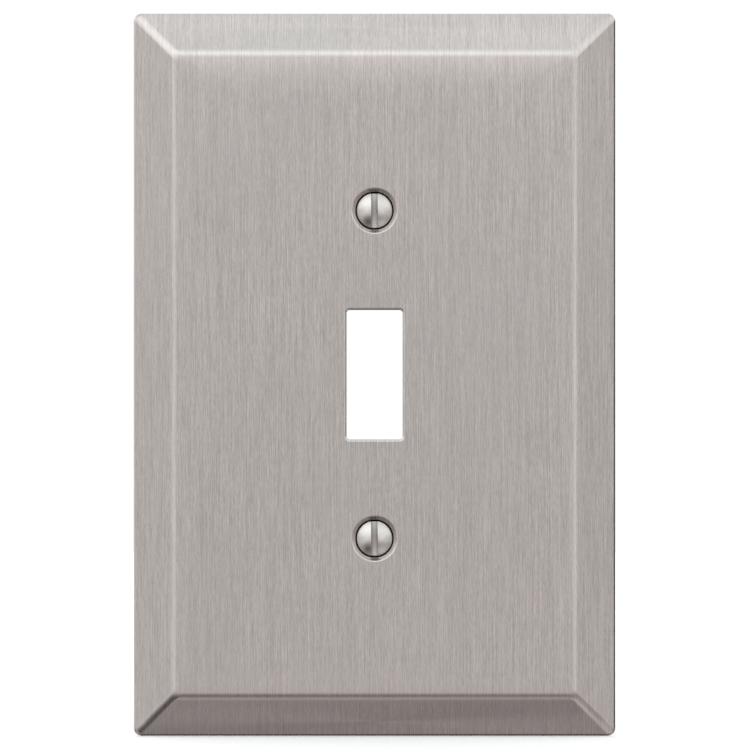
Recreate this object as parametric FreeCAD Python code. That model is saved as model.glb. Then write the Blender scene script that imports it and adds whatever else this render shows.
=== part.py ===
"""Oversize one-gang wall plate for a toggle switch, with its two plate screws.

A sheet-steel plate, pressed so that a flat face stands off the wall on four bevelled sides and a short rim.
A rectangular opening lets the switch's toggle through. Above and below it, a round dimple takes the oval head of
a number 6-32 machine screw, which clamps the plate to the switch's strap behind it.

Frame, in millimetres: X to the right, Y into the wall, Z up. The origin is on the wall, behind the plate's centre,
so the plate's rim rests on Y = 0 and its face is at Y = -depth.
"""

import FreeCAD, Part
import math
import os

from FreeCAD import Vector

INCH = 25.4

# The pressed plate.
width = 3.5 * INCH
height = 5.25 * INCH
depth = 5.6  # wall to the front of the face
sheet = 1.0  # thickness of the steel
rim_height = 1.3  # the straight edge that stands on the wall
bevel_run = 7.3  # from the plate's edge to the line where bevel and face planes meet
rim_corner_radius = 1.4
face_corner_radius = 1.8
face_bend_radius = 3.3  # outside radius of the soft bend between face and bevel
inner_bend_radius = 2.3  # the same bend on the hidden side
inner_rim_corner_radius = 0.6
rim_bend_radius = 0.6

# The toggle's opening.
opening_width = 0.406 * INCH
opening_height = 0.937 * INCH
opening_corner_radius = 0.6
opening_edge_radius = 0.45  # the edge that the punch rolls over

# The dimples that the screw heads sink into.
screw_spacing = 2.375 * INCH
countersink_angle = 82.0
dimple_mouth_radius = 4.15
dimple_edge_radius = 0.35
dimple_sheet = 0.85  # the steel is drawn thinner here
screw_hole_radius = 2.2
screw_hole_wall = 0.45  # length of the straight wall below the cone

# The 6-32 oval-head screws.
thread_radius = 0.138 * INCH / 2
thread_pitch = INCH / 32
thread_flank_angle = 30.0  # each side of the vee
screw_length = 0.5 * INCH  # from the widest part of the head to the tip
head_radius = 3.3
head_land = 0.12  # straight edge between the cone and the dome
dome_height = 1.0
head_clearance = 0.06  # between the head's cone and the dimple's, square to both
driver_slot_width = 1.2
driver_slot_depth = 1.3
neck_radius = 1.5  # unrolled blank, close to the thread's pitch radius
neck_length = 0.9  # plain stretch between the cone and the first thread
tip_chamfer = 0.4
upper_slot_turn = 0.8  # degrees that each driver slot leans from upright
lower_slot_turn = 1.2

# Worked out from the above.
cone_slope = math.tan(math.radians(countersink_angle / 2))  # radius gained for each mm of depth
bevel_slope = (depth - rim_height) / bevel_run
bevel_angle = math.atan(bevel_slope)
thread_depth = 0.54127 * thread_pitch  # basic depth, with a crest flat of an eighth and a root flat of a quarter
dimple_depth = (dimple_mouth_radius - screw_hole_radius) / cone_slope
head_seat = (dimple_mouth_radius - head_radius) / cone_slope  # how far the head's edge sits below the face
head_lift = head_clearance / math.sin(math.radians(countersink_angle / 2))
cone_height = (head_radius - neck_radius) / cone_slope


def rounded_rectangle(size_x, size_z, radius, stand_off):
    """A closed wire at stand_off mm from the wall, centred on the Y axis."""
    x, z, y = size_x / 2, size_z / 2, -stand_off
    diagonal = radius * (1 - math.sqrt(0.5))
    edges = []
    for sx, sz in ((1, 1), (-1, 1), (-1, -1), (1, -1)):
        on_side = Vector(sx * x, y, sz * (z - radius))
        on_end = Vector(sx * (x - radius), y, sz * z)
        middle = Vector(sx * (x - diagonal), y, sz * (z - diagonal))
        first, last = (on_side, on_end) if sx * sz > 0 else (on_end, on_side)
        edges.append(Part.Arc(first, middle, last).toShape())
    ends = [(edge.valueAt(edge.FirstParameter), edge.valueAt(edge.LastParameter)) for edge in edges]
    outline = []
    for i, edge in enumerate(edges):
        outline += [edge, Part.makeLine(ends[i][1], ends[(i + 1) % len(edges)][0])]
    return Part.Wire(outline)


def edges_at(shape, stand_off, half_x, half_z):
    """The loop of edges lying stand_off mm from the wall, on a rectangle of that half size."""
    near = 1e-3
    corner_reach = 3.0  # no corner arc reaches further than this from the rectangle's sides
    low_x, low_z = half_x - corner_reach, half_z - corner_reach
    found = []
    for edge in shape.Edges:
        box = edge.BoundBox
        level = abs(box.YMin + stand_off) < near and abs(box.YMax + stand_off) < near
        on_corner = max(abs(box.XMin), abs(box.XMax)) > low_x and max(abs(box.ZMin), abs(box.ZMax)) > low_z
        on_side = abs(abs(box.Center.x) - half_x) < near or abs(abs(box.Center.z) - half_z) < near
        if level and (on_corner or on_side):
            found.append(edge)
    return found


def revolved(profile, z):
    """A solid turned about the screw axis at height z from (radius, stand-off) points."""
    points = [Vector(r, -stand_off, z) for r, stand_off in profile]
    face = Part.Face(Part.makePolygon(points + points[:1]))
    return face.revolve(Vector(0, 0, z), Vector(0, 1, 0), 360)


def pressed_tray():
    """The plate before it is pierced: an outer form less an inner one, a sheet's thickness apart."""
    face_inset = 2 * bevel_run
    outer = Part.makeLoft([
        rounded_rectangle(width, height, rim_corner_radius, 0),
        rounded_rectangle(width, height, rim_corner_radius, rim_height),
        rounded_rectangle(width - face_inset, height - face_inset, face_corner_radius, depth),
    ], True, True)
    outer = outer.makeFillet(
        face_bend_radius, edges_at(outer, depth, width / 2 - bevel_run, height / 2 - bevel_run))
    outer = outer.makeFillet(rim_bend_radius, edges_at(outer, rim_height, width / 2, height / 2))

    inner_depth = depth - sheet
    drop = sheet / math.cos(bevel_angle)  # the bevel's inner plane lies this far below its outer one
    inner_rim = rim_height + bevel_slope * sheet - drop
    inner_inset = 2 * (inner_depth - rim_height + drop) / bevel_slope
    inner_x, inner_z = width - 2 * sheet, height - 2 * sheet
    inner = Part.makeLoft([
        rounded_rectangle(inner_x, inner_z, inner_rim_corner_radius, -sheet),
        rounded_rectangle(inner_x, inner_z, inner_rim_corner_radius, inner_rim),
        rounded_rectangle(width - inner_inset, height - inner_inset, face_corner_radius, inner_depth),
    ], True, True)
    inner = inner.makeFillet(
        inner_bend_radius,
        edges_at(inner, inner_depth, (width - inner_inset) / 2, (height - inner_inset) / 2))
    return outer.cut(inner)


def toggle_opening():
    """The punched opening, flared at its front edge where the steel rolls over."""
    past = 1.0
    wire = rounded_rectangle(opening_width, opening_height, opening_corner_radius, 0)
    return Part.Face(wire).extrude(Vector(0, -(depth + past), 0))


def dimple_boss(z):
    """The steel pushed out behind the face round one screw."""
    across = dimple_sheet / math.cos(math.radians(countersink_angle / 2))
    inner_depth = depth - sheet
    foot = depth - dimple_depth - screw_hole_wall
    top_radius = dimple_mouth_radius - sheet * cone_slope + across
    foot_radius = dimple_mouth_radius - (depth - foot) * cone_slope + across
    overlap = 0.5 * sheet
    return revolved([
        (0, inner_depth + overlap),
        (top_radius + overlap * cone_slope, inner_depth + overlap),
        (foot_radius, foot),
        (0, foot),
    ], z)


def dimple_hollow(z):
    """What the punch takes out: the cone for the head and the clearance hole below it."""
    past = 1.0
    return revolved([
        (0, depth + past),
        (dimple_mouth_radius, depth + past),
        (dimple_mouth_radius, depth),
        (screw_hole_radius, depth - dimple_depth),
        (screw_hole_radius, 0),
        (0, 0),
    ], z)


def roll_over(plate):
    """Rounds the front edges of the opening and of both dimples, as a punch leaves them."""
    near = 1e-3
    opening_edges, mouth_edges = [], []
    for edge in plate.Edges:
        box = edge.BoundBox
        if abs(box.YMin + depth) > near or abs(box.YMax + depth) > near:
            continue
        if abs(box.Center.x) <= opening_width / 2 + near and abs(box.Center.z) <= opening_height / 2 + near:
            opening_edges.append(edge)
        elif abs(box.Center.x) < near and abs(abs(box.Center.z) - screw_spacing / 2) < near:
            mouth_edges.append(edge)
    plate = plate.makeFillet(opening_edge_radius, opening_edges)
    mouths = [
        edge for edge in plate.Edges
        if any(edge.BoundBox.Center.distanceToPoint(mouth.BoundBox.Center) < near
               and abs(edge.Length - mouth.Length) < near for mouth in mouth_edges)]
    return plate.makeFillet(dimple_edge_radius, mouths)


def wall_plate():
    plate = pressed_tray()
    for side in (1, -1):
        plate = plate.fuse(dimple_boss(side * screw_spacing / 2))
    for side in (1, -1):
        plate = plate.cut(dimple_hollow(side * screw_spacing / 2))
    plate = plate.cut(toggle_opening())
    return roll_over(plate.removeSplitter())


def screw_blank():
    """The screw before threading and slotting, standing on its tip at the origin along +Z."""
    thread_top = screw_length - cone_height - neck_length
    land_top = screw_length + head_land
    dome_top = land_top + dome_height
    dome_radius = (head_radius ** 2 + dome_height ** 2) / (2 * dome_height)
    half_angle = math.asin(head_radius / dome_radius) / 2
    dome_middle = Vector(dome_radius * math.sin(half_angle), 0, dome_top - dome_radius * (1 - math.cos(half_angle)))
    corners = [
        (0, 0),
        (thread_radius - tip_chamfer, 0),
        (thread_radius, tip_chamfer),
        (thread_radius, thread_top),
        (neck_radius, thread_top + thread_radius - neck_radius),
        (neck_radius, screw_length - cone_height),
        (head_radius, screw_length),
        (head_radius, land_top),
    ]
    points = [Vector(radius, 0, z) for radius, z in corners]
    outline = [Part.makeLine(first, last) for first, last in zip(points, points[1:])]
    outline.append(Part.Arc(points[-1], dome_middle, Vector(0, 0, dome_top)).toShape())
    outline.append(Part.makeLine(Vector(0, 0, dome_top), points[0]))
    return Part.Face(Part.Wire(outline)).revolve(Vector(0, 0, 0), Vector(0, 0, 1), 360)


def thread_turn():
    """One turn of the right-handed vee between the threads, rising along +Z from the level Z = 0."""
    past = 0.05  # how far the groove's mouth stands outside the crests
    root_half = thread_pitch / 8
    mouth_half = root_half + (thread_depth + past) * math.tan(math.radians(thread_flank_angle))
    points = [
        Vector(thread_radius - thread_depth, 0, -root_half),
        Vector(thread_radius - thread_depth, 0, root_half),
        Vector(thread_radius + past, 0, mouth_half),
        Vector(thread_radius + past, 0, -mouth_half),
    ]
    pipe = Part.BRepOffsetAPI.MakePipeShell(Part.Wire(Part.makeHelix(thread_pitch, thread_pitch, thread_radius)))
    pipe.setFrenetMode(True)
    pipe.add(Part.makePolygon(points + points[:1]))
    pipe.build()
    pipe.makeSolid()
    return pipe.shape()


def threaded(blank):
    """Cuts the thread one turn at a time, from below the tip until it runs out in the neck."""
    thread_top = screw_length - cone_height - neck_length
    turn = thread_turn()
    start = -0.75 * thread_pitch  # so that the first cut breaks out through the tip
    turn.translate(Vector(0, 0, start))
    for _ in range(math.ceil(thread_top / thread_pitch) + 1):
        blank = blank.cut(turn)
        turn.translate(Vector(0, 0, thread_pitch))
    return blank


def driver_slot():
    """The saw cut right across the head, along X."""
    floor = screw_length + head_land + dome_height - driver_slot_depth
    reach = 2 * head_radius
    corner = Vector(-reach, -driver_slot_width / 2, floor)
    return Part.makeBox(2 * reach, driver_slot_width, 2 * driver_slot_depth, corner)


def plate_screw(z, slot_turn):
    """One screw in its dimple at height z, with its driver slot leaning slot_turn degrees from upright."""
    screw = threaded(screw_blank()).cut(driver_slot())
    screw.rotate(Vector(0, 0, 0), Vector(0, 0, 1), 90 + slot_turn)
    screw.rotate(Vector(0, 0, 0), Vector(1, 0, 0), 90)  # the head, at +Z, now faces -Y
    head_edge = depth - head_seat + head_lift  # its distance from the wall
    screw.translate(Vector(0, screw_length - head_edge, z))
    return screw


def export(name, shape):
    if not shape.isValid() or len(shape.Solids) != 1:
        raise ValueError(f"{name} is not one valid solid")
    shape.Solids[0].exportStep(os.path.join("parts", name + ".step"))
    box = shape.BoundBox
    print(f"{name}: {shape.Volume:.1f} mm3, {box.XLength:.2f} x {box.YLength:.2f} x {box.ZLength:.2f} mm")


os.makedirs("parts", exist_ok=True)
export("wall_plate", wall_plate())
export("upper_screw", plate_screw(screw_spacing / 2, upper_slot_turn))
export("lower_screw", plate_screw(-screw_spacing / 2, lower_slot_turn))
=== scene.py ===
"""Looks for an oversize one-gang toggle wall plate: brushed nickel, seen square on, on a plain pale floor.

Lengths are metres and the frame is the part's own: +X right, +Y into the wall, +Z up, face towards -Y.
"Stand-off" is the distance in front of the wall, along -Y, and "inset" the distance in from the plate's edge.
"""

import math

import bmesh
import bpy
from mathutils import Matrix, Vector


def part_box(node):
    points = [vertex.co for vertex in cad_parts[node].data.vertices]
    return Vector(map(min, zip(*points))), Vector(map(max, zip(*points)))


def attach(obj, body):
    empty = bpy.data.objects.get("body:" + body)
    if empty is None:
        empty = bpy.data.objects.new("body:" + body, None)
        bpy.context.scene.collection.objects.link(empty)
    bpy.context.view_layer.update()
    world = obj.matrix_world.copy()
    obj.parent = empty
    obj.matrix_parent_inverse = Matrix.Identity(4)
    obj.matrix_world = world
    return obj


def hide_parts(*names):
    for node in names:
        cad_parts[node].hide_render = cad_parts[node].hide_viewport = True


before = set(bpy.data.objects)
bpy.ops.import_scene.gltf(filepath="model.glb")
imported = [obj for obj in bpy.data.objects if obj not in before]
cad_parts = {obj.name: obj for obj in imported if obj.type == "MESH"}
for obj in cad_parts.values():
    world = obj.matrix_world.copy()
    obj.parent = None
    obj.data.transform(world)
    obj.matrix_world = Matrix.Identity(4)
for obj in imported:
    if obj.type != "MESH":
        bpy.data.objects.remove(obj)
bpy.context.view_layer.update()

MM = 0.001
BRUSHED, PLAIN = 0, 1  # the plate's two material slots: what faces the room, and the hidden side

# The pressed plate, as in the CAD model, with the softer bends that a real pressing has.
sheet = 1.0 * MM
rim_height = 1.3 * MM
rim_corner = 1.4 * MM
rim_bend = 0.9 * MM
bevel_run = 7.3 * MM
bevel_degrees = 29.2
bend_start = 6.4 * MM  # inset where the bevel starts to turn over into the face
bend_end = 8.4 * MM
crown_end = 17.0 * MM  # inset where the last of the face's slight crown dies out
crown_degrees = 3.2
ridge_corner = 1.3 * MM
crown_corner_growth = 6.0 * MM  # how much larger the corner radius is where the crown ends
opening_corner = 0.6 * MM
opening_half_width = 5.156 * MM
opening_half_height = 11.9 * MM
opening_roll = 0.45 * MM

# Its hidden side.
inner_rim_corner = 0.6 * MM
inner_face_corner = 1.8 * MM
inner_rim_reach = 2.0 * MM  # inset up to which the corners are the rim's
back_bend = 2.3 * MM
back_ridge_shift = 0.15 * MM

# The screws' dimples.
dimple_mouth = 4.15 * MM
dimple_roll = 0.35 * MM
dimple_hole = 2.2 * MM
dimple_foot = 2.9 * MM  # its stand-off
dimple_wall = 0.85 * MM
dimple_half_angle = 41.0
dimple_chamfer = 0.10 * MM
dimple_root_drop = 0.20 * MM  # where its back meets the hidden face
dimple_root_reach = 0.15 * MM

# Loops set close to a bend so that its shading stays there: how far from the bend each lies.
foot_loop = 0.15 * MM
rim_loop = 0.10 * MM
bevel_loop = 0.15 * MM
ridge_loop = 0.20 * MM
face_loop = 0.50 * MM
wall_loop = 0.30 * MM

# How finely each stretch is divided.
corner_steps = 14
circle_steps = 96
rim_steps = 10
ridge_steps = 28
crown_steps = 16
rise_steps = 8
back_steps = 8
opening_steps = 10
dimple_steps = 8
dimple_edge = dimple_steps + 3  # the loop at the dimple's outer foot, where the hidden side's finish starts
sharp_degrees = 32

# Camera: far enough away that the plate's sides look parallel.
lens_mm = 300
sensor_mm = 36
view_width = 0.1386  # what the frame spans at the rim of the plate
view_offset = 0.00009  # the plate sits this far left of the middle
view_drop = 0.00007  # and this far above it

# Colours, linear.
nickel = (0.60, 0.555, 0.535)
nickel_cool = (0.585, 0.56, 0.545)
screw_nickel = (0.68, 0.65, 0.625)
# Painted shade: the near-black painted into the seam round each screw head and into the slot's corners.
painted_shade_dark = (0.015, 0.013, 0.013, 1)
floor_pale = (0.86, 0.86, 0.86)
floor_glow = 0.20

# Brushing runs along the plate's height: noise in cells one streak wide and each of these lengths long.
streak_width = 0.10 * MM
streak_lengths = (20 * MM, 5 * MM, 1.3 * MM)
streak_shares = (0.36, 0.34, 0.30)
streak_reach = 0.12  # how far the noise goes from its middle for the full contrast
streak_contrast = 0.20
brushed_anisotropy = 0.65

# Other marks: cells per metre along each axis, and how much of a colour or of the relief each gives.
face_cloud_cells = (60, 60, 25)
face_cloud_share = 0.35
grain_cells, grain_share = (5000, 5000, 5000), 0.4
cloud_cells, cloud_share = (70, 70, 70), 0.35
rolled_cells, rolled_share = (1500, 1500, 60), 0.25
ring_cells, ring_share = (7000, 7000, 1), 0.6
screw_grain_cells, screw_grain_share = (4000, 4000, 4000), 0.4
narrow_noise = (0.35, 0.65)  # the stretch of a noise's values that a mark is drawn from
wide_noise = (0.3, 0.7)
back_gains = (0.82, 0.98)
screw_gains = (0.9, 1.08)

# Roughness, and relief as strength and depth.
brushed_rough = (0.24, 0.31)
back_rough = (0.42, 0.56)
screw_rough = (0.26, 0.36)
fine_relief = (0.25, 0.004 * MM)
back_relief = (0.3, 0.01 * MM)

# Painted shade: the dark seam round each screw head, where the head meets its dimple, as the radii between
# which it fades, and the dark corners of the slot.
plate_seam_shade = (3.45 * MM, 3.53 * MM)
screw_seam_shade = (3.20 * MM, 3.26 * MM)
slot_shade_reach = 2 * MM
slot_shade_openness = (0.29, 0.54)

floor_half = 1.2
floor_gap = 0.1 * MM
key_place = (-0.16, -0.48, 0.40)
key_size = (0.55, 0.30)
key_watts = 0.08

# What the metal mirrors: the room's shade by the sine of its height, then round patches of it. A patch is
# where it lies as (x, y, z), its radius and soft edge in degrees, and the light it adds, or FLAG for
# black card.
FLAG = None
shade_range = 2.0
room_shades = [
    (-1.0, (0.36, 0.33, 0.33)),
    (-0.85, (0.33, 0.30, 0.30)),
    (-0.79, (0.62, 0.58, 0.57)),
    (-0.66, (0.62, 0.58, 0.57)),
    (-0.52, (0.28, 0.25, 0.25)),
    (-0.30, (0.30, 0.28, 0.27)),
    (-0.16, (0.84, 0.82, 0.81)),
    (-0.06, (0.58, 0.57, 0.56)),
    (0.0, (0.54, 0.53, 0.53)),
    (0.16, (0.95, 0.94, 0.94)),
    (0.25, (1.16, 1.18, 1.18)),
    (0.45, (1.22, 1.27, 1.27)),
    (0.66, (1.04, 1.10, 1.11)),
    (0.93, (0.94, 0.97, 0.98)),
    (1.0, (1.04, 1.08, 1.09)),
]
patches = [
    (-0.45, -0.88, 0.0, 7, 5, (0.58, 0.58, 0.575)),
    (0.45, -0.88, 0.0, 7, 5, (0.64, 0.64, 0.63)),
    (-0.85, -0.52, 0.0, 26, 14, (0.07, 0.07, 0.07)),
    (0.85, -0.52, 0.0, 26, 14, (0.03, 0.03, 0.03)),
    (0.50, -0.62, -0.60, 16, 9, (0.22, 0.215, 0.215)),
    (-0.85, 0.50, 0.0, 26, 12, (0.35, 0.35, 0.35)),
    (-0.38, -0.75, 0.54, 18, 14, (0.28, 0.28, 0.28)),
    (-0.62, -0.64, -0.46, 14, 9, (0.35, 0.34, 0.335)),
    (-0.40, -0.70, -0.59, 15, 7, FLAG),
]

# Black cards behind the plate's right and lower edges: the range of directions each fills, along x, y and z.
card_edge = 0.04
card_black = (0.01, 0.01, 0.01, 1)
cards = [
    ((0.12, 1.1), (0.04, 1.1), (-0.20, 0.20)),
    ((-0.25, 0.25), (0.04, 1.1), (-1.1, -0.12)),
]

plate_low, plate_high = (Vector(corner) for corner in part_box("wall_plate"))
half_width = plate_high.x
half_height = plate_high.z
depth = -plate_low.y
screw_heights = [sum(corner[2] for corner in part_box(node)) / 2 for node in ("upper_screw", "lower_screw")]


# ---- the plate's mesh ----------------------------------------------------------------------------

def rounded_loop(half_x, half_z, radius):
    """Points of a rounded rectangle, anticlockwise from the right-hand side's top, as (x, z)."""
    points = []
    for corner, (sx, sz) in enumerate(((1, 1), (-1, 1), (-1, -1), (1, -1))):
        for step in range(corner_steps + 1):
            turn = math.radians(90) * (corner + step / corner_steps)
            x = sx * (half_x - radius) + radius * math.cos(turn)
            z = sz * (half_z - radius) + radius * math.sin(turn)
            points.append((x, z))
    return points


def circle_loop(radius, z):
    """Points of a circle round a screw's axis, anticlockwise, as (x, z)."""
    turns = [2 * math.pi * step / circle_steps for step in range(circle_steps)]
    return [(radius * math.cos(turn), z + radius * math.sin(turn)) for turn in turns]


def add_loop(mesh, points, stand_off):
    return [mesh.verts.new((x, -stand_off, z)) for x, z in points]


def bridge(mesh, outer, inner, finish):
    """Quads between two loops of the same count."""
    count = len(outer)
    for i in range(count):
        j = (i + 1) % count
        mesh.faces.new([outer[i], outer[j], inner[j], inner[i]]).material_index = finish


def bridge_all(mesh, loops, finish):
    for outer, inner in zip(loops, loops[1:]):
        bridge(mesh, outer, inner, finish)


def fill(mesh, outer, holes, finish):
    """A flat patch inside one loop, with holes."""
    edges = []
    for loop in [outer] + holes:
        for i, vert in enumerate(loop):
            edges.append(mesh.edges.get((vert, loop[(i + 1) % len(loop)])))
    made = bmesh.ops.triangle_fill(mesh, use_beauty=True, edges=edges)
    for item in made["geom"]:
        if isinstance(item, bmesh.types.BMFace):
            item.material_index = finish


def slope_at(inset):
    """The plate's slope in radians at an inset from its edge: bevel, bend, then a crown that fades out."""
    bevel = math.radians(bevel_degrees)
    crown = math.radians(crown_degrees)
    if inset <= bend_start:
        return bevel
    if inset < bend_end:
        t = (inset - bend_start) / (bend_end - bend_start)
        return crown + (bevel - crown) * (0.5 + 0.5 * math.cos(math.pi * t))
    if inset < crown_end:
        t = (inset - bend_end) / (crown_end - bend_end)
        return crown * (1 - t) ** 2
    return 0.0


def front_profile():
    """(inset, stand-off) pairs from the rim's foot to the flat of the face."""
    bend = math.radians(90 - bevel_degrees)
    start = rim_height - rim_bend * math.tan(bend / 2)
    points = [(0.0, 0.0), (0.0, foot_loop), (0.0, start - rim_loop)]
    for step in range(rim_steps + 1):
        turn = bend * step / rim_steps
        points.append((rim_bend * (1 - math.cos(turn)), start + rim_bend * math.sin(turn)))
    insets = [points[-1][0] + bevel_loop, bend_start - ridge_loop]
    insets += [bend_start + (bend_end - bend_start) * step / ridge_steps for step in range(ridge_steps + 1)]
    insets += [bend_end + (crown_end - bend_end) * step / crown_steps for step in range(1, crown_steps + 1)]
    insets.append(crown_end + face_loop)
    for inset in insets:
        last_inset, last_height = points[-1]
        run = inset - last_inset
        slopes = [math.tan(slope_at(last_inset + run * (k + 0.5) / rise_steps)) for k in range(rise_steps)]
        points.append((inset, last_height + run * sum(slopes) / rise_steps))
    lift = depth - points[-1][1]  # what the slopes leave short of the plate's depth, taken up in the rim
    return [(inset, height + lift * min(1.0, height / rim_height)) for inset, height in points]


def corner_radius_at(inset):
    """Tight at the rim and along the mitre, easing where the face's crown begins."""
    along = min(1.0, max(0.0, (inset - bend_end) / (crown_end - bend_end)))
    start = rim_corner + (ridge_corner - rim_corner) * min(1.0, inset / bevel_run)
    return start + along * crown_corner_growth


def back_profile():
    """(inset, stand-off) pairs of the hidden side, from the face's flat out to the rim's foot.

    It lies a whole sheet behind the flat of the face, but only about 0.7 mm behind the bevel.
    """
    bevel = math.radians(bevel_degrees)
    ridge = bevel_run + sheet * math.tan(bevel / 2) - back_ridge_shift
    reach = back_bend * math.tan(bevel / 2)
    points = [(crown_end, depth - sheet)]
    for step in range(back_steps + 1):
        turn = bevel * step / back_steps
        inset = ridge + reach - back_bend * math.sin(turn)
        points.append((inset, depth - sheet - back_bend * (1 - math.cos(turn))))
    end_inset, end_height = points[-1]
    wall_height = end_height - (end_inset - sheet) * math.tan(bevel)
    points.append((sheet + wall_loop, wall_height + wall_loop * math.tan(bevel)))
    points.append((sheet, wall_height))
    points.append((sheet, 0.0))
    return points


def opening_profile():
    """(outward growth, stand-off) pairs through the toggle opening, front to back."""
    points = []
    for step in range(opening_steps + 1):
        turn = math.radians(90) * step / opening_steps
        points.append((opening_roll * (1 - math.sin(turn)), depth - opening_roll * (1 - math.cos(turn))))
    points.append((0.0, depth - sheet))
    return points


def dimple_profile():
    """(radius, stand-off) pairs from the dimple's mouth down its cone, through its hole and up its back."""
    half = math.radians(dimple_half_angle)
    dip = math.radians(90) - half  # the cone's slope, measured from the face
    reach = dimple_roll * math.tan(dip / 2)
    points = []
    for step in range(dimple_steps + 1):
        turn = dip * step / dimple_steps
        radius = dimple_mouth + reach - dimple_roll * math.sin(turn)
        points.append((radius, depth - dimple_roll * (1 - math.cos(turn))))
    points.append((dimple_hole, depth - (dimple_mouth - dimple_hole) / math.tan(half)))
    points.append((dimple_hole, dimple_foot))
    across = dimple_wall / math.cos(half)
    outer_foot = dimple_mouth - (depth - dimple_foot) * math.tan(half) + across
    outer_top = dimple_mouth - sheet * math.tan(half) + across
    points.append((outer_foot - dimple_chamfer, dimple_foot))
    points.append((outer_foot, dimple_foot + dimple_chamfer))
    points.append((outer_top - dimple_root_drop * math.tan(half), depth - sheet - dimple_root_drop))
    points.append((outer_top + dimple_root_reach, depth - sheet))
    return points


def plate_mesh():
    """The whole sheet as one closed mesh."""
    mesh = bmesh.new()
    front_loops = [
        add_loop(mesh, rounded_loop(half_width - inset, half_height - inset, corner_radius_at(inset)), height)
        for inset, height in front_profile()]
    bridge_all(mesh, front_loops, BRUSHED)

    back_loops = []
    for inset, height in back_profile():
        radius = inner_face_corner if inset > inner_rim_reach else inner_rim_corner
        points = rounded_loop(half_width - inset, half_height - inset, radius)
        back_loops.append(add_loop(mesh, points, height))
    bridge_all(mesh, back_loops, PLAIN)
    bridge(mesh, back_loops[-1], front_loops[0], PLAIN)

    opening_loops = [
        add_loop(
            mesh,
            rounded_loop(opening_half_width + grow, opening_half_height + grow, opening_corner + grow),
            height)
        for grow, height in opening_profile()]
    bridge_all(mesh, opening_loops, BRUSHED)

    front_holes, back_holes = [opening_loops[0]], [opening_loops[-1]]
    for z in screw_heights:
        loops = [add_loop(mesh, circle_loop(radius, z), height) for radius, height in dimple_profile()]
        bridge_all(mesh, loops[:dimple_edge + 1], BRUSHED)
        bridge_all(mesh, loops[dimple_edge:], PLAIN)
        front_holes.append(loops[0])
        back_holes.append(loops[-1])

    fill(mesh, front_loops[-1], front_holes, BRUSHED)
    fill(mesh, back_loops[0], back_holes, PLAIN)
    bmesh.ops.recalc_face_normals(mesh, faces=mesh.faces[:])
    return mesh


def pressed_plate():
    """The plate as a mesh fine enough for its bends to reflect smoothly."""
    built = plate_mesh()
    data = bpy.data.meshes.new("pressed_plate")
    built.to_mesh(data)
    built.free()
    data.polygons.foreach_set("use_smooth", [True] * len(data.polygons))
    data.set_sharp_from_angle(angle=math.radians(sharp_degrees))
    data.materials.append(brushed_nickel())
    data.materials.append(plain_back())
    made = bpy.data.objects.new("pressed_plate", data)
    bpy.context.scene.collection.objects.link(made)
    even = made.modifiers.new("even_normals", "WEIGHTED_NORMAL")
    even.keep_sharp = True
    even.weight = 100
    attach(made, "plate")
    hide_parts("wall_plate")
    return made


# ---- node helpers --------------------------------------------------------------------------------

class Graph:
    """Adds nodes to a material's or the world's tree, with their inputs set or linked in one call."""

    def __init__(self, owner):
        owner.use_nodes = True
        self.tree = owner.node_tree
        self.tree.nodes.clear()

    def add(self, kind, settings=None, numbered=None, **named):
        """A node with its settings, and its inputs by number or by name, with _ for a space."""
        node = self.tree.nodes.new(kind)
        for name, value in (settings or {}).items():
            setattr(node, name, value)
        for number, value in (numbered or {}).items():
            self.plug(node.inputs[number], value)
        for name, value in named.items():
            self.plug(node.inputs[name.replace("_", " ")], value)
        return node

    def plug(self, socket, value):
        if isinstance(value, bpy.types.NodeSocket):
            self.tree.links.new(value, socket)
        else:
            socket.default_value = value

    def maths(self, operation, first, second=0.0, third=0.0):
        numbered = {0: first, 1: second, 2: third}
        return self.add("ShaderNodeMath", {"operation": operation}, numbered).outputs[0]

    def vector(self, operation, first, second=None, **named):
        """Vector maths: LENGTH and DOT_PRODUCT give a number, the others a vector."""
        numbered = {0: first} if second is None else {0: first, 1: second}
        node = self.add("ShaderNodeVectorMath", {"operation": operation}, numbered, **named)
        return node.outputs["Value" if operation in ("LENGTH", "DOT_PRODUCT") else "Vector"]

    def weighted(self, *pairs):
        """The sum of value times weight."""
        total = 0.0
        for value, weight in pairs:
            total = self.maths("MULTIPLY_ADD", value, weight, total)
        return total

    def remap(self, value, from_low, from_high, to_low=0.0, to_high=1.0, smooth=False):
        kind = "SMOOTHSTEP" if smooth else "LINEAR"
        return self.add(
            "ShaderNodeMapRange", {"interpolation_type": kind}, Value=value,
            From_Min=from_low, From_Max=from_high, To_Min=to_low, To_Max=to_high).outputs[0]

    def blend(self, factor, first, second):
        """A colour between two, where each may be a colour or a socket."""
        node = self.add("ShaderNodeMix", {"data_type": "RGBA"}, {6: first, 7: second}, Factor=factor)
        return node.outputs[2]

    def noise(self, where, cells, detail=2.0, rough=0.5):
        """Noise with its own number of cells per metre along each axis."""
        scaled = self.vector("MULTIPLY", where, cells)
        made = self.add("ShaderNodeTexNoise", Vector=scaled, Scale=1.0, Detail=detail, Roughness=rough)
        return made.outputs["Fac"]

    def ring_distance(self, place, axis_z):
        """Distance from a screw's axis."""
        centred = self.vector("SUBTRACT", place, (0, 0, axis_z))
        return self.vector("LENGTH", self.vector("MULTIPLY", centred, (1, 0, 1)))

    def metal(self, colour, rough, marks, relief, **named):
        """Ends the material: metal of this colour and roughness, with its marks raised."""
        strength, distance = relief
        bump = self.add("ShaderNodeBump", Height=marks, Strength=strength, Distance=distance).outputs[0]
        surface = self.add(
            "ShaderNodeBsdfPrincipled", Base_Color=colour, Metallic=1.0, Roughness=rough, Normal=bump,
            **named)
        self.add("ShaderNodeOutputMaterial", Surface=surface.outputs[0])


def tinted(colour, gain=1.0):
    return (*[min(1.0, part * gain) for part in colour], 1.0)


# ---- materials -----------------------------------------------------------------------------------

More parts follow.
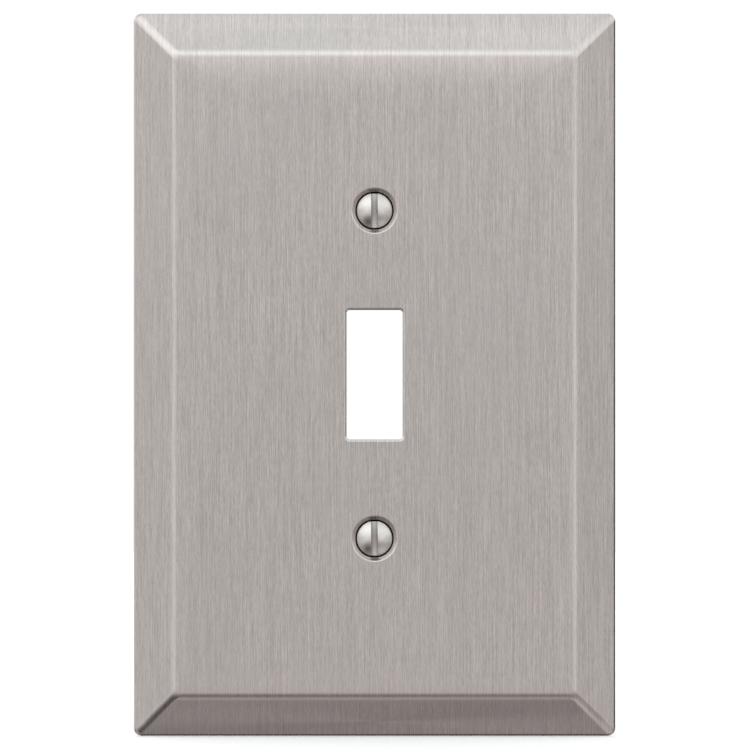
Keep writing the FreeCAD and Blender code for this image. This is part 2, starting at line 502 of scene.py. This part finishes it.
def brushed_nickel():
    """Satin nickel over steel brushed along its height: its streaks show in colour, gloss and relief."""
    material = bpy.data.materials.new("brushed_nickel")
    g = Graph(material)
    place = g.add("ShaderNodeTexCoord").outputs["Object"]
    streaks = [g.noise(place, (1 / streak_width, 1 / length, 1 / length), 1.0) for length in streak_lengths]
    streak = g.weighted(*zip(streaks, streak_shares))
    cloud = g.noise(place, face_cloud_cells)

    tint = g.remap(streak, 0.5 - streak_reach, 0.5 + streak_reach)
    colour = g.blend(tint, tinted(nickel, 1 - streak_contrast), tinted(nickel, 1 + streak_contrast))
    colour = g.blend(g.remap(cloud, *wide_noise, 0.0, face_cloud_share), colour, tinted(nickel_cool))
    # Painted shade: a dark ring painted in the dimple where each screw head meets it.
    for z in screw_heights:
        colour = g.blend(g.remap(g.ring_distance(place, z), *plate_seam_shade), painted_shade_dark, colour)
    rough = g.remap(streak, *wide_noise, *brushed_rough)
    tangent = g.add("ShaderNodeTangent", {"direction_type": "RADIAL", "axis": "Z"}).outputs[0]
    g.metal(colour, rough, streak, fine_relief, Anisotropic=brushed_anisotropy, Tangent=tangent)
    return material


def plain_back():
    """The hidden side: thinner plating over the mill finish, duller, with a fine grain and faint clouding."""
    material = bpy.data.materials.new("plain_back")
    g = Graph(material)
    place = g.add("ShaderNodeTexCoord").outputs["Object"]
    grain = g.noise(place, grain_cells, 3.0, 0.65)
    cloud = g.noise(place, cloud_cells, 3.0)
    rolled = g.noise(place, rolled_cells)
    mark = g.weighted((grain, grain_share), (cloud, cloud_share), (rolled, rolled_share))
    dull, clean = (tinted(nickel, gain) for gain in back_gains)
    colour = g.blend(g.remap(mark, *narrow_noise), dull, clean)
    g.metal(colour, g.remap(mark, *narrow_noise, *back_rough), mark, back_relief)
    return material


def turned_nickel(name, axis_z):
    """The screws: brighter plating with fine circular turning marks about the screw's own axis."""
    material = bpy.data.materials.new(name)
    g = Graph(material)
    place = g.add("ShaderNodeTexCoord").outputs["Object"]
    radius = g.ring_distance(place, axis_z)
    along = g.add("ShaderNodeSeparateXYZ", Vector=place).outputs[1]
    ringed = g.add("ShaderNodeCombineXYZ", X=radius, Y=along, Z=0.0).outputs[0]
    rings = g.noise(ringed, ring_cells, 2.0, 0.6)
    grain = g.noise(place, screw_grain_cells, 2.0, 0.6)
    marks = g.weighted((rings, ring_share), (grain, screw_grain_share))
    dull, clean = (tinted(screw_nickel, gain) for gain in screw_gains)
    colour = g.blend(g.remap(marks, *narrow_noise), dull, clean)
    # Painted shade: the slot's corners darkened by how open each point is, and the head's rim darkened by its
    # radius.
    openness = g.add("ShaderNodeAmbientOcclusion", {"samples": 8}, Distance=slot_shade_reach).outputs["AO"]
    colour = g.blend(g.remap(openness, *slot_shade_openness), painted_shade_dark, colour)
    colour = g.blend(g.remap(radius, *screw_seam_shade), colour, painted_shade_dark)
    g.metal(colour, g.remap(marks, *wide_noise, *screw_rough), marks, fine_relief)
    return material


def finish_screws():
    for node, z in zip(("upper_screw", "lower_screw"), screw_heights):
        material = turned_nickel(node + "_nickel", z)
        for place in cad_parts[node].material_slots:
            place.material = material


def floor_paint():
    """White paint, with just enough light of its own to read as white where nothing shades it."""
    material = bpy.data.materials.new("floor")
    g = Graph(material)
    paint = g.add(
        "ShaderNodeBsdfPrincipled", Base_Color=(*floor_pale, 1), Roughness=0.9,
        Emission_Color=(1, 1, 1, 1), Emission_Strength=floor_glow)
    g.add("ShaderNodeOutputMaterial", Surface=paint.outputs[0])
    return material


# ---- surroundings --------------------------------------------------------------------------------

def floor():
    half = floor_half
    z = plate_low.z - floor_gap
    mesh = bpy.data.meshes.new("floor")
    corners = [(-half, -half, z), (half, -half, z), (half, half, z), (-half, half, z)]
    mesh.from_pydata(corners, [], [(0, 1, 2, 3)])
    mesh.materials.append(floor_paint())
    made = bpy.data.objects.new("floor", mesh)
    bpy.context.scene.collection.objects.link(made)
    made.visible_glossy = False
    made.visible_diffuse = False


def studio():
    """Plain white to the eye. What the metal mirrors is a pale room, brighter above, with boxes and flags."""
    world = bpy.data.worlds.new("studio")
    bpy.context.scene.world = world
    g = Graph(world)
    way = g.add("ShaderNodeTexCoord").outputs["Generated"]
    axes = g.add("ShaderNodeSeparateXYZ", None, Vector=way).outputs
    ramp = g.add("ShaderNodeValToRGB", Fac=g.remap(axes[2], -1.0, 1.0))
    ramp.color_ramp.interpolation = "LINEAR"
    stops = ramp.color_ramp.elements
    stops.remove(stops[-1])
    for i, (sine, colour) in enumerate(room_shades):
        stop = stops[0] if i == 0 else stops.new((sine + 1) / 2)
        stop.color = (*[part / shade_range for part in colour], 1)
    light = g.vector("SCALE", ramp.outputs[0], Scale=shade_range)
    for x, y, z, size, edge, colour in patches:
        aim = Vector((x, y, z)).normalized()
        outer = math.cos(math.radians(size + edge))
        inner = math.cos(math.radians(max(0.0, size - edge)))
        inside = g.remap(g.vector("DOT_PRODUCT", way, aim), outer, inner, smooth=True)
        if colour is FLAG:
            light = g.blend(inside, light, card_black)
        else:
            light = g.vector("ADD", light, g.vector("SCALE", colour, Scale=inside))
    for card in cards:
        shaded = 1.0
        for axis, (low, high) in zip(axes, card):
            above = g.remap(axis, low - card_edge, low + card_edge)
            below = g.remap(axis, high - card_edge, high + card_edge, 1.0, 0.0)
            shaded = g.maths("MULTIPLY", shaded, g.maths("MULTIPLY", above, below))
        light = g.blend(shaded, light, card_black)
    mirrored = g.add("ShaderNodeBackground", Color=light, Strength=1.0)
    seen = g.add("ShaderNodeBackground", Color=(1, 1, 1, 1), Strength=1.0)
    eye = g.add("ShaderNodeLightPath").outputs["Is Camera Ray"]
    both = g.add("ShaderNodeMixShader", None, {1: mirrored.outputs[0], 2: seen.outputs[0]}, Fac=eye)
    g.add("ShaderNodeOutputWorld", None, Surface=both.outputs[0])


def soft_light(name, where, width, height, watts):
    light = bpy.data.lights.new(name, "AREA")
    light.shape = "RECTANGLE"
    light.size = width
    light.size_y = height
    light.energy = watts
    made = bpy.data.objects.new(name, light)
    made.location = where
    made.rotation_euler = (-Vector(where)).to_track_quat("-Z", "Y").to_euler()
    bpy.context.scene.collection.objects.link(made)


def camera():
    data = bpy.data.cameras.new("camera")
    data.lens = lens_mm
    data.sensor_width = sensor_mm
    made = bpy.data.objects.new("camera", data)
    made.location = (view_offset, -view_width * lens_mm / sensor_mm, -view_drop)
    made.rotation_euler = (math.radians(90), 0, 0)
    bpy.context.scene.collection.objects.link(made)
    bpy.context.scene.camera = made


pressed_plate()
finish_screws()
floor()
studio()
soft_light("key", key_place, *key_size, key_watts)
camera()
bpy.context.scene.view_settings.view_transform = "Standard"
